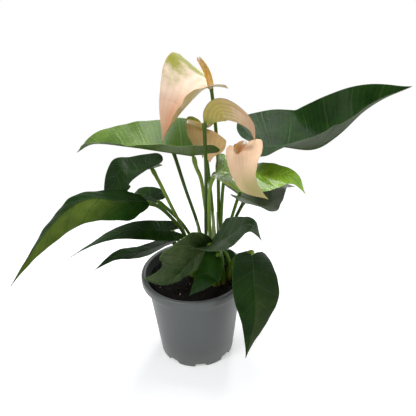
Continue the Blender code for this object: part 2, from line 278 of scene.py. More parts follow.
def pot_ring(radius, height):
    """One ring of the pot's profile, lifted at the notches and a little out of round on the wall."""
    ring = []
    for turn in [2 * pi * k / POT_SIDES for k in range(POT_SIDES)]:
        r, z = radius, height
        if r > FOOT_INNER_RADIUS and z < FOOT_HEIGHT:
            z += NOTCH_HEIGHT * notch(turn) * (1 - z / FOOT_HEIGHT)
        if FOOT_HEIGHT <= height < WAVE_TOP and r > wall_radius(height) - 0.1:
            up = (height - FOOT_HEIGHT) / (WAVE_TOP - FOOT_HEIGHT)
            r += WAVE_DEPTH * cos(FEET * turn + 0.9) * sin(pi * up) ** 0.5
        ring.append((r * cos(turn), r * sin(turn), z))
    return ring


profile = ([(16, 0)] + arc((16.0, 1.2), 1.2, -90, 0, 4)[1:]
           + [(17.6, 2.0), (36, 2.0), (38.4, 1.6), (39.4, 0), (42.2, 0), (42.8, 0.6), (43.3, 2.4)]
           + [(wall_radius(z), z) for z in (5.5, 9, 14, 22, 32, 44, 56, 68, 80, 88, 92)]
           + [(wall_radius(93.0) + 0.5, 93.2), (wall_radius(97.0) + 0.5, 97.2)]
           + arc((wall_radius(LIP) + 1.9, LIP - 1.2), 1.4, 180, 90, 4)
           + arc((RIM_RADIUS - 1.3, LIP + 1.5), 1.3, -90, 0, 5) + [(RIM_RADIUS + 0.1, LIP + 4.5)]
           + arc((RIM_RADIUS - 2.4, POT_HEIGHT - 2.4), 2.4, 0, 90, 8)
           + arc((RIM_INNER_RADIUS + 2.0, POT_HEIGHT - 2.0), 2.0, 90, 180, 6)
           + [(wall_radius(z) - WALL, z) for z in (98, 92, 80, 60, 40, 20, 6)]
           + arc((wall_radius(4) - WALL - 3, 7), 3.0, 0, -90, 4))
pot_mesh = turned_mesh("moulded_pot", [pot_ring(r, z) for r, z in profile], 0, 4)
pot_mesh.set_sharp_from_angle(angle=radians(50))


def scaled(value, by, onto):
    return maths("MULTIPLY_ADD", value, by, onto)


def mix_colour(amount, a, b, blend="MIX"):
    """Colour a turned to b by an amount."""
    return add_node("ShaderNodeMix", {0: amount, 6: a, 7: b}, data_type="RGBA", blend_type=blend).outputs[2]


def noise(where, scale, detail=3.0, roughness=0.5, stretch=(1, 1, 1)):
    moved = wire("ShaderNodeMapping", {"Vector": where, "Scale": stretch})
    return wire("ShaderNodeTexNoise", {"Vector": moved, "Scale": scale, "Detail": detail,
                                       "Roughness": roughness})


def axes(vector):
    return add_node("ShaderNodeSeparateXYZ", {0: vector}).outputs


def new_tree(name, family, inputs):
    """A node tree and its inputs, each named with its kind or, for a number, its usual value."""
    tree = bpy.data.node_groups.new(name, family + "NodeTree")
    for label, usual in inputs.items():
        kind = usual if isinstance(usual, str) else type(usual).__name__.capitalize()
        socket = tree.interface.new_socket(label, in_out="INPUT", socket_type="NodeSocket" + kind)
        if kind != usual:
            socket.default_value = usual
    return tree, tree.nodes.new("NodeGroupInput").outputs


def close_tree(**outputs):
    """Puts sockets out of their tree by name, and returns the tree."""
    tree = next(iter(outputs.values())).id_data
    kinds = {"RGBA": "Color", "VALUE": "Float", "GEOMETRY": "Geometry"}
    for label, socket in outputs.items():
        tree.interface.new_socket(label, in_out="OUTPUT", socket_type="NodeSocket" + kinds[socket.type])
    add_node("NodeGroupOutput", outputs)
    return tree


def finish_surface(colour, roughness, height, depth, specular=0.5, coat=0.0, coat_roughness=0.1):
    """The shader itself: gloss numbers that don't change stay on its own sockets."""
    bump = wire("ShaderNodeBump", {"Height": height, "Distance": depth, "Strength": 1.0})
    shader = wire("ShaderNodeBsdfPrincipled", {
        "Base Color": colour, "Roughness": roughness, "Normal": bump, "Specular IOR Level": specular,
        "Coat Weight": coat, "Coat Roughness": coat_roughness})
    add_node("ShaderNodeOutputMaterial", {"Surface": shader})


DUST = (0.36, 0.33, 0.28)
POT_COLOUR = (0.092, 0.099, 0.097)

_, given = new_tree("Moulded plastic", "Shader", {"Place": "Vector", "Colour": "Color"})
place = given["Place"]
clouds = noise(place, 22, 4, 0.6)
flow = noise(place, 60, 4, 0.6, (1, 1, 0.12))
pits = noise(place, 900, 2, 0.5)
dust = times(ramp(axes(place)["Z"], 0.03, 0.0), clouds)
tone = scaled(maths("ADD", clouds, flow), 0.16, 0.84)
grey = wire("ShaderNodeCombineColor", {0: tone, 1: tone, 2: tone})
shade = mix_colour(1.0, given["Colour"], grey, "MULTIPLY")
moulded_plastic = close_tree(Colour=mix_colour(times(dust, 0.3), shade, DUST),
                             Roughness=scaled(clouds, 0.22, 0.30),
                             Height=scaled(pits, 0.5, times(flow, 0.5)))

material, tree = new_material("blue_grey_plastic")
skin = add_node("ShaderNodeGroup", {"Place": object_place(tree), "Colour": POT_COLOUR},
                node_tree=moulded_plastic).outputs
finish_surface(skin["Colour"], skin["Roughness"], skin["Height"], 0.00008)

pot = add_object("moulded_pot", pot_mesh, material)
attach(pot, "root")
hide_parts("pot")


# ---- Potting mix -----------------------------------------------------------------------------
# Dark peat filled to a finger's width under the rim: a lumpy surface with loose crumbs, bark
# chips and a few pale grains strewn over it.
SOIL_TOP = 96.0
SOIL_RADIUS = wall_radius(SOIL_TOP) - WALL - 0.3
SOIL_FLOOR = 4.4
SOIL_FLOOR_RADIUS = wall_radius(5) - WALL - 0.4
SOIL_SIDES = 96
LUMPS = ((0.11, 0.05, 0.3, 0.8), (-0.07, 0.13, 1.9, 0.7), (0.23, -0.19, 4.0, 0.4), (0.31, 0.37, 2.2, 0.3))
PEAT = (0.0012, 0.0009, 0.0008), (0.0085, 0.0060, 0.0048)
BARK = (0.020, 0.010, 0.006), (0.085, 0.045, 0.026)
PALE_GRAIN = (0.42, 0.39, 0.34)


def lump(x, y):
    """Height of the peat surface at a place, in millimetres above its usual level."""
    return sum(h * sin(a * x + b * y + c) for a, b, c, h in LUMPS)


def soil_ring(radius, height=None):
    """A ring of the bed at a height, or on its lumpy top."""
    turns = [2 * pi * k / SOIL_SIDES for k in range(SOIL_SIDES)]
    spots = [(radius * cos(a), radius * sin(a)) for a in turns]
    return [(x, y, SOIL_TOP + lump(x, y) if height is None else height) for x, y in spots]


def cells(where, scale, **settings):
    """Distance inside the cells of a crackle."""
    return wire("ShaderNodeTexVoronoi", {"Vector": where, "Scale": scale}, **settings)


def marked(tree, name):
    return add_node("ShaderNodeAttribute", tree=tree, attribute_name=name).outputs["Fac"]


peat_material, tree = new_material("peat")
place = object_place(tree)
grain = cells(place, 520)
clods = noise(place, 90, 6, 0.65)
tint = marked(tree, "tint")
peat, bark = mix_colour(clods, *PEAT), mix_colour(clods, *BARK)
grit = mix_colour(ramp(tint, 0.78, 0.86), peat, bark)
grit = mix_colour(ramp(tint, 0.965, 0.975), grit, PALE_GRAIN)
finish_surface(grit, scaled(clods, 0.15, 0.8), maths("ADD", grain, clods), 0.0006, 0.12)

rings = [soil_ring(SOIL_FLOOR_RADIUS, SOIL_FLOOR), soil_ring(SOIL_RADIUS, SOIL_TOP - 2.5)]
rings += [soil_ring(r) for r in np.linspace(SOIL_RADIUS, 2.5, 22)]
soil_mesh = turned_mesh("peat_bed", rings, SOIL_FLOOR, SOIL_TOP + lump(0, 0))
soil = add_object("peat_bed", soil_mesh, peat_material)
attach(soil, "root")
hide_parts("soil")


def crumb_shape(name, seed, stretch):
    """One broken crumb: a lumpy ball pulled to a flake's or a clod's proportions."""
    draw = random.Random(seed)
    bm = bmesh.new()
    bmesh.ops.create_icosphere(bm, subdivisions=1, radius=1.0)
    for v in bm.verts:
        v.co *= 0.7 + 0.6 * draw.random()
        v.co = v.co * Vector(stretch)
    return bpy.data.objects.new(name, mesh_of(bm, name, smooth=False))


def close_geometry(given, instances):
    """Ends a geometry tree: its instances become real and take the tree's material."""
    real = wire("GeometryNodeRealizeInstances", {0: instances})
    return close_tree(Geometry=wire("GeometryNodeSetMaterial",
                                    {"Geometry": real, "Material": given["Material"]}))


def grow(start, tree, values, name):
    """Runs a geometry tree on a mesh and returns the plain result as a new object."""
    holder = add_object(name + "_start", start)
    modifier = holder.modifiers.new("grow", "NODES")
    modifier.node_group = tree
    sockets = {s.name: s.identifier for s in tree.interface.items_tree if s.in_out == "INPUT"}
    for label, value in values.items():
        modifier[sockets[label]] = value
    bpy.context.view_layer.update()
    seen = holder.evaluated_get(bpy.context.evaluated_depsgraph_get())
    mesh = bpy.data.meshes.new_from_object(seen)
    holder.modifiers.clear()
    bpy.data.objects.remove(holder)
    mesh.name = name
    return add_object(name, mesh)


def random_value(tree, low, high, seed):
    return add_node("FunctionNodeRandomValue", {2: low, 3: high, "Seed": seed}, tree,
                    data_type="FLOAT").outputs[1]


def stored(geometry, name, value, kind):
    return wire("GeometryNodeStoreNamedAttribute", {"Geometry": geometry, "Name": name, "Value": value},
                data_type=kind, domain="POINT")


FULL_TURN = 6.3
tree, given = new_tree("Strew crumbs", "Geometry", {
    "Geometry": "Geometry", "Crumbs per square metre": 150000.0, "Size": 0.0012,
    "Crumb shapes": "Collection", "Seed": 3, "Material": "Material"})
spots = wire("GeometryNodeDistributePointsOnFaces", {
    "Mesh": given["Geometry"], "Density": given["Crumbs per square metre"], "Seed": given["Seed"]})
shapes = wire("GeometryNodeCollectionInfo", {
    "Collection": given["Crumb shapes"], "Separate Children": True, "Reset Children": True})
turn = wire("FunctionNodeRandomValue", {"Max": (FULL_TURN,) * 3, "Seed": 5}, tree, data_type="FLOAT_VECTOR")
size = times(maths("POWER", random_value(tree, 0.45, 1.0, 6), 3.0), given["Size"])
tinted = stored(spots, "tint", random_value(tree, 0.0, 1.0, 8), "FLOAT")
crumb_tree = close_geometry(given, wire("GeometryNodeInstanceOnPoints", {
    "Points": tinted, "Instance": shapes, "Pick Instance": True, "Rotation": turn, "Scale": size}))

crumb_shapes = bpy.data.collections.new("crumb_shapes")
for number, stretch in enumerate(((1, 0.9, 0.7), (1.3, 0.8, 0.5), (1.9, 0.7, 0.3), (0.8, 0.8, 0.8))):
    crumb_shapes.objects.link(crumb_shape("crumb_%d" % number, 40 + number, stretch))
bm = bmesh.new()
bmesh.ops.create_grid(bm, x_segments=60, y_segments=60, size=SOIL_RADIUS * MM)
for v in bm.verts:
    v.co.z = (SOIL_TOP + 0.2 + lump(v.co.x / MM, v.co.y / MM)) * MM
outside = [v for v in bm.verts if v.co.xy.length > (SOIL_RADIUS - 1.2) * MM]
bmesh.ops.delete(bm, geom=outside, context="VERTS")
crumbs = grow(mesh_of(bm, "crumb_bed", smooth=False), crumb_tree,
              {"Crumb shapes": crumb_shapes, "Material": peat_material}, "loose_crumbs")
for shape in list(crumb_shapes.objects):
    bpy.data.objects.remove(shape)
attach(crumbs, "root")


# ---- Stalks ----------------------------------------------------------------------------------
# Every leaf and flower stands on its own smooth stalk from the crown. A stalk is widest in its
# sheath at the soil, has a shallow groove, and ends in a short swollen knuckle under the blade.
STEPS_BETWEEN = 12
STALK_RINGS, STALK_SIDES, STALK_GROOVE = 56, 14, 0.12
STALK_DEPTH = 3
SHEATH_SWELL, SHEATH_REACH = 0.42, 11
KNUCKLE_SWELL, KNUCKLE_FROM_END, KNUCKLE_REACH = 0.28, 6.5, 3.2


def smooth_path(points, count):
    """Points at even steps along a smooth curve through the given ones, and its length."""
    p = np.asarray(points, float)
    ends = np.vstack([2 * p[0] - p[1], p, 2 * p[-1] - p[-2]])
    t = np.linspace(0, 1, STEPS_BETWEEN, endpoint=False)[None, :, None]
    a, b, c, d = [ends[k:k + len(p) - 1][:, None, :] for k in range(4)]
    fine = 0.5 * (2 * b + (c - a) * t + (2 * a - 5 * b + 4 * c - d) * t ** 2
                  + (3 * b - a - 3 * c + d) * t ** 3)
    fine = np.vstack([fine.reshape(-1, 3), p[-1]])
    reach = np.concatenate([[0], np.cumsum(np.linalg.norm(np.diff(fine, axis=0), axis=1))])
    at = np.linspace(0, reach[-1], count)
    return np.stack([np.interp(at, reach, fine[:, k]) for k in range(3)], 1), reach[-1]


def unit(v):
    return v / np.linalg.norm(v)


def carry(path, face):
    """Unit tangents along a path, and sides square to them, carried along it without turning."""
    tangents = np.gradient(path, axis=0)
    tangents /= np.linalg.norm(tangents, axis=1)[:, None]
    sides = [unit(np.cross(tangents[0], face))]
    for t in tangents[1:]:
        sides.append(unit(sides[-1] - t * (sides[-1] @ t)))
    return tangents, np.array(sides)


def tube(name, points, radius, rings, sides, groove=0.0):
    """A closed round tube along a smooth curve, with a lengthwise UV map.

    radius is a function of (share of the length, distance from the start, distance to the end)."""
    path, length = smooth_path(points, rings)
    bm = bmesh.new()
    flow = bm.loops.layers.uv.new("along")
    loops = []
    for k, (centre, t, side) in enumerate(zip(path, *carry(path, (0, 1, 0)))):
        up = np.cross(side, t)
        share = k / (rings - 1)
        r = radius(share, share * length, (1 - share) * length)
        ring = []
        for a in [2 * pi * n / sides for n in range(sides)]:
            dip = 1 - groove * max(0.0, cos(a)) ** 6
            ring.append(bm.verts.new((centre + r * dip * (side * cos(a) + up * sin(a))) * MM))
        loops.append(ring)
    first, last = bm.verts.new(path[0] * MM), bm.verts.new(path[-1] * MM)

    def patch(corners, places):
        for loop, (along, around) in zip(bm.faces.new(corners).loops, places):
            loop[flow].uv = (along / (rings - 1), around / sides)

    for k, (low, high) in enumerate(zip(loops, loops[1:])):
        for n in range(sides):
            j = (n + 1) % sides
            patch((high[n], high[j], low[j], low[n]), ((k + 1, n), (k + 1, n + 1), (k, n + 1), (k, n)))
    for n in range(sides):
        j = (n + 1) % sides
        patch((first, loops[0][n], loops[0][j]), [(0, n)] * 3)
        patch((last, loops[-1][j], loops[-1][n]), [(rings - 1, n)] * 3)
    return mesh_of(bm, name)


FLECK = (0.30, 0.36, 0.18)

_, given = new_tree("Stalk skin", "Shader", {
    "Place": "Vector", "Along": "Vector", "Colour": "Color", "Pale": "Color", "Foot": "Color"})
share = axes(given["Along"])["X"]
fibres = noise(given["Along"], 6, 3, 0.6, (3, 9, 1))
blotch = noise(given["Place"], 45, 4, 0.6)
flecks = cells(given["Place"], 420)
colour = mix_colour(times(blotch, 0.9), given["Colour"], given["Pale"])
colour = mix_colour(times(ramp(fibres, 0.4, 0.75), 0.35), colour, given["Pale"])
colour = mix_colour(times(ramp(flecks, 0.16, 0.05), 0.25), colour, FLECK)
colour = mix_colour(times(ramp(share, 0.93, 0.98), 0.6), colour, given["Pale"])
foot = times(ramp(share, 0.13, 0.0), maths("ADD", blotch, 0.35))
stalk_skin = close_tree(Colour=mix_colour(foot, colour, given["Foot"]), Roughness=scaled(blotch, 0.2, 0.28),
                        Height=maths("ADD", fibres, times(flecks, 0.4)))


def map_place(tree, name):
    return wire("ShaderNodeUVMap", tree=tree, uv_map=name)


def stalk_material(name, colour, pale, foot=(0.16, 0.10, 0.045)):
    material, tree = new_material(name)
    skin = add_node("ShaderNodeGroup", {"Place": object_place(tree), "Along": map_place(tree, "along"),
                                        "Colour": colour, "Pale": pale, "Foot": foot},
                    node_tree=stalk_skin).outputs
    finish_surface(skin["Colour"], skin["Roughness"], skin["Height"], 0.00012, 0.2)
    return material


STALK_LOOKS = {
    "bright": stalk_material("stalk_bright", (0.11, 0.20, 0.014), (0.22, 0.32, 0.045)),
    "green": stalk_material("stalk_green", (0.042, 0.105, 0.004), (0.11, 0.21, 0.012)),
    "dark": stalk_material("stalk_dark", (0.022, 0.062, 0.003), (0.065, 0.12, 0.010)),
}


def add_stalk(owner, look, stem, root, radii, stands_for):
    """The stalk of one leaf or flower, from a little way down in the peat to its blade's root."""
    (x, y), *rest = stem
    upright = min(14.0, 0.4 * (rest[0][2] - SOIL_TOP))
    end, root = np.array(rest[-1], float), np.array(root, float)
    points = [(x, y, SOIL_TOP - STALK_DEPTH), (x, y, SOIL_TOP + upright), *rest, end + (root - end) * 0.72]

    def radius(share, from_foot, from_end):
        plain = float(np.interp(share, np.linspace(0, 1, 4), radii))
        sheath = 1 + SHEATH_SWELL * exp(-(max(0.0, from_foot - STALK_DEPTH) / SHEATH_REACH) ** 2)
        knuckle = 1 + KNUCKLE_SWELL * exp(-((from_end - KNUCKLE_FROM_END) / KNUCKLE_REACH) ** 2)
        return plain * sheath * knuckle * min(1.0, 0.55 + 0.2 * from_end)

    mesh = tube("stalk_of_" + owner, points, radius, STALK_RINGS, STALK_SIDES, STALK_GROOVE)
    stalk = add_object("stalk_of_" + owner, mesh, STALK_LOOKS[look])
    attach(stalk, "root")
    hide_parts(stands_for)


# ---- Leaves ----------------------------------------------------------------------------------
# Heart-shaped waxy blades, folded along the midrib. Side veins are sunk into the upper face and
# stand out on the paler underside, and the margin is thin and slightly wavy.

# Half outline from the notch where the stalk joins, round the lobe, to the tip:
# (along the midrib / length, aside / half width).
HEART = [(0.0, 0.0), (-0.10, 0.13), (-0.185, 0.36), (-0.175, 0.68), (-0.06, 0.94), (0.12, 1.0),
         (0.36, 0.86), (0.60, 0.55), (0.80, 0.25), (0.92, 0.08), (1.0, 0.0)]
LOBE = 0.185
ACROSS = np.array([0, 0.018, 0.045, 0.09, 0.16, 0.25, 0.36, 0.48, 0.60, 0.72, 0.83, 0.91, 0.965, 1.0])
ROWS = 84
MIDRIB_STEPS = 41
FLAT = 1e-4
THICKNESS = 0.55
GROOVE_DEPTH, VEIN_RIDGE = 0.35, 0.10
# What a blade has unless its row says otherwise. Those of the first line may be pairs, for its right
# and its left half: lobe, narrow and curl size and bend the half, spread draws the lobe's inner edge
# aside from the stalk, slant and push sweep the half and its widest place towards the tip, and full
# widens it near the tip. ease and smooth soften the bends across the blade. sunk, wave and ridge are
# the depths of the side veins, the margin's waves and the midrib.
BY_HALVES = dict(lobe=1, narrow=1, curl=0, spread=0, slant=0, push=0, full=0)
USUAL = dict(**BY_HALVES, ease=0, smooth=1.5, veins=9, sunk=0.35, wave=0.8, waves=5, ridge=0.9)


def blurring(places, reach):
    """Weights that mix each place with its neighbours within a reach."""
    weights = np.exp(-(np.subtract.outer(places, places) / reach) ** 2)
    return weights / weights.sum(1)[:, None]


def midrib_frames(path, face, twist):
    """Tangent, side and normal along the midrib, turned by an even twist."""
    tangent, sides = carry(path, face)
    normal = np.cross(sides, tangent)
    turn = radians(twist) * np.linspace(0, 1, len(path))
    c, s = np.cos(turn)[:, None], np.sin(turn)[:, None]
    return tangent, sides * c + normal * s, normal * c - sides * s


def half_blade(rib, face, twist, width, folds, blade, k):
    """Grid of points over the right (0) or left (1) half of a blade, and how far aside each lies.

    Its rows follow the side veins from midrib to margin."""
    lobe, narrow, curl, spread, slant, push, full = [np.broadcast_to(blade[key], 2)[k] for key in BY_HALVES]
    side = (1, -1)[k]
    width = width * narrow
    path, length = smooth_path(rib, MIDRIB_STEPS)
    frames = midrib_frames(path, face, twist)
    steps = np.linspace(0, 1, MIDRIB_STEPS)
    if blade["ease"]:
        frames = [blurring(steps, blade["ease"]) @ f for f in frames]
        frames = [f / np.linalg.norm(f, axis=1)[:, None] for f in frames]
    outline, _ = smooth_path([(x, y / 2, 0) for x, y in HEART], ROWS + 1)
    outline[0], outline[-1] = (0, 0, 0), (1, 0, 0)
    fuller = 0.5 * full * np.sin(pi * np.clip((outline[:, 0] - 0.3) / 0.7, 0, 1))
    outline[:, 1] = np.maximum(outline[:, 1] + fuller, 0.3 * outline[:, 1])
    x, y = outline[:, 0], 2 * outline[:, 1]
    root = np.maximum(0, (x + LOBE) / (1 + LOBE)) ** 1.9
    root[:np.argmin(x) + 1] = 0
    x = np.where(x < 0, x * lobe * y ** spread, x) + push * (1 - x) ** 2 * y
    along = root[:, None] + (x - root)[:, None] * ACROSS ** 1.15
    aside = y[:, None] * ACROSS

    def at(values):
        return np.stack([np.interp(np.clip(along, 0, 1), steps, values[:, n]) for n in range(3)], -1)

    centre, tangent, across, normal = at(path), *[at(f) for f in frames]
    centre = centre + tangent * (np.minimum(along, 0) * length)[..., None]
    fold = np.radians(np.interp(along, [-0.15, 0.4, 1.0], folds[k]))
    bend = radians(curl) or FLAT
    out = width / bend * (np.sin(fold + bend * aside) - np.sin(fold))
    up = -width / bend * (np.cos(fold + bend * aside) - np.cos(fold))
    grid = (centre + across * (side * out)[..., None] + tangent * (slant * out)[..., None]
            + normal * up[..., None])
    order = np.arange(ROWS + 1)
    hold = np.clip(np.minimum(order, order[::-1]) / blade["smooth"] / 2, 0, 1)
    share = hold[:, None] * np.clip(ACROSS * 6, 0, 1)
    softer = np.einsum("ij,jkl->ikl", blurring(order, blade["smooth"]), grid)
    return grid + (softer - grid) * share[..., None], aside * width


def grid_normals(grid, side):
    """Unit normals of a grid of points, facing the blade's upper side."""
    n = np.cross(np.gradient(grid, axis=1), np.gradient(grid, axis=0)) * side
    size = np.linalg.norm(n, axis=2)
    size[size < 1e-9] = 1
    n /= size[..., None]
    n[0], n[-1] = n[1], n[-2]
    return n


def blade_mesh(name, seed, rib, face, twist, width, folds, special):
    """A blade as a thin closed sheet with relief: sunken side veins, a midrib ridge and a wavy margin.

    Its UV map runs from the notch to the tip in u, and from one margin to the other in v."""
    blade = {**USUAL, **special}
    s = np.linspace(0, 1, ROWS + 1)[:, None]
    v = ACROSS[None, :]
    phase = random.Random(seed).uniform(0, 6)
    size = width / 30
    bm = bmesh.new()
    flow = bm.loops.layers.uv.new("leaf")
    for side, k in ((1, 0), (-1, 1)):
        grid, aside = half_blade(rib, face, twist, width, folds, blade, k)
        normal = grid_normals(grid, side)
        fade = np.sin(np.pi * v) ** 0.7 * np.clip(s * 12, 0, 1) * np.clip((1 - s) * 5, 0, 1)
        between = np.abs(np.sin(np.pi * blade["veins"] * s))
        turn = 2 * np.pi * blade["waves"] * s
        ruffle = (np.sin(turn + phase + side) * v ** 2.5
                  + 0.5 * np.sin(2.3 * turn + 2 * phase) * v ** 5) * np.clip((1 - s) * 4, 0, 1)
        groove = -GROOVE_DEPTH * np.exp(-(aside / 1.1) ** 2) * np.clip(s * 30, 0, 1) * (1 - s)
        relief = (blade["sunk"] * size ** 0.5 * (between ** 0.8 - 0.5) * fade
                  + blade["wave"] * size * 0.6 * ruffle * np.clip(s * 8, 0, 1) + groove)
        grid = grid + normal * relief[..., None]
        thin = THICKNESS * (1 - 0.55 * v ** 6) / 2
        ridge = blade["ridge"] * np.exp(-(aside / (0.9 + 0.5 * (1 - s))) ** 2) * (1 - 0.8 * s)
        vein_ridge = VEIN_RIDGE * (1 - between) ** 3 * fade
        upper = grid + normal * thin[..., None]
        under = grid - normal * (thin + ridge + vein_ridge)[..., None]
        tops = [[bm.verts.new(p * MM) for p in row] for row in upper]
        lows = [[bm.verts.new(p * MM) for p in row] for row in under]

        def patch(corners, places, skin):
            face = bm.faces.new(corners[::side])
            face.material_index = skin
            for loop, (i, j) in zip(face.loops, places[::side]):
                loop[flow].uv = (i / ROWS, 0.5 + 0.5 * side * float(ACROSS[j]))

        end = len(ACROSS) - 1
        for i in range(ROWS):
            for j in range(end):
                places = [(i, j), (i, j + 1), (i + 1, j + 1), (i + 1, j)]
                patch([tops[a][b] for a, b in places], places, 0)
                places = [(i + 1, j), (i + 1, j + 1), (i, j + 1), (i, j)]
                patch([lows[a][b] for a, b in places], places, 1)
            patch([tops[i][end], lows[i][end], lows[i + 1][end], tops[i + 1][end]],
                  [(i, end), (i, end), (i + 1, end), (i + 1, end)], 0)
    bmesh.ops.remove_doubles(bm, verts=bm.verts, dist=0.00001)
    bmesh.ops.dissolve_degenerate(bm, edges=bm.edges, dist=0.000005)
    mesh = mesh_of(bm, name)
    mesh.set_sharp_from_angle(angle=radians(70))
    return mesh


def off(value, middle):
    """How far a value lies from a middle one."""
    return maths("ABSOLUTE", maths("SUBTRACT", value, middle))


_, given = new_tree("Vein pattern", "Shader", {
    "Leaf": "Vector", "Place": "Vector", "Side veins": 9.0, "Line": 0.10})
run, across, _ = axes(given["Leaf"])
away = times(off(across, 0.5), 2)
warp = maths("SUBTRACT", noise(given["Place"], 70, 2), 0.5)
course = scaled(warp, 0.012, run)
side_run = maths("PINGPONG", times(course, given["Side veins"]), 0.5)
fine_run = maths("PINGPONG", times(course, times(given["Side veins"], 5.0)), 0.5)
width = times(given["Line"], scaled(away, -0.65, 1.0))
side_line = maths("SUBTRACT", 1.0, ramp(side_run, 0.0, width))
fine_line = times(ramp(fine_run, 0.3, 0.0), ramp(away, 0.02, 0.2))
middle = ramp(maths("ADD", away, times(run, 0.02)), 0.055, 0.015)
hem = ramp(off(away, 0.935), 0.012, 0.0)
net = ramp(cells(given["Place"], 520, feature="DISTANCE_TO_EDGE"), 0.10, 0.0)
veins = maths("MAXIMUM", times(side_line, 0.8), times(hem, 0.4))
height = times(noise(given["Place"], 150, 3, 0.55), 0.9)
for line, rise in ((veins, -0.5), (fine_line, -0.16), (net, -0.10), (middle, 0.3)):
    height = scaled(line, rise, height)
vein_pattern = close_tree(
    Veins=veins, Fine=fine_line, Midrib=middle, Margin=ramp(away, 0.975, 0.995),
    Mottle=noise(given["Place"], 38, 5, 0.62), Net=net, Height=height)


def marks_on(tree, veins, **line):
    """A blade's map and its vein pattern's outputs."""
    leaf = map_place(tree, "leaf")
    return leaf, add_node("ShaderNodeGroup", {"Leaf": leaf, "Place": object_place(tree), "Side veins": veins,
                                              **line}, node_tree=vein_pattern).outputs


def paint(colour, marks, layers):
    """Lays marks over a colour, each layer a mark, its strength and its own colour."""
    for mark, strength, over in layers:
        colour = mix_colour(times(marks[mark], strength), colour, over)
    return colour


def leaf_material(name, veins, deep, fresh, vein, gloss, depth, strength, coat, specular,
                  painted_light=None, edge=None):
    """Blade skin: deep and fresh greens in soft patches, paler veins and margin, waxy gloss.

    The colour given after specular, if any, is painted light: a second colour over part of the blade, with
    whether only the left half takes it and where along the blade it is absent and where full. It paints a
    sheen on some blades and a shade on others. edge is the margin's colour where the veins' own won't do."""
    material, tree = new_material(name)
    leaf, marks = marks_on(tree, veins)
    patches = ramp(marks["Mottle"], 0.34, 0.68)
    colour = mix_colour(patches, deep, fresh)
    # Painted light: a second colour laid over part of the blade, a painted sheen on some looks and a painted
    # shade on others.
    if painted_light:
        second, left_only, start, end = painted_light
        along, across, _ = axes(leaf)
        painted_light_share = times(ramp(along, start, end), scaled(patches, 0.4, 0.6))
        if left_only:
            painted_light_share = times(ramp(across, 0.52, 0.46), painted_light_share)
        colour = mix_colour(painted_light_share, colour, second)
    colour = paint(colour, marks, [
        ("Fine", 0.22 * strength, vein), ("Net", 0.16 * strength, vein), ("Veins", strength, vein),
        ("Midrib", min(1.0, 1.4 * strength), vein), ("Margin", 0.7, edge or vein)])
    finish_surface(colour, scaled(marks["Mottle"], 0.16, gloss), marks["Height"], depth,
                   specular, coat, 0.7 * gloss)
    return material
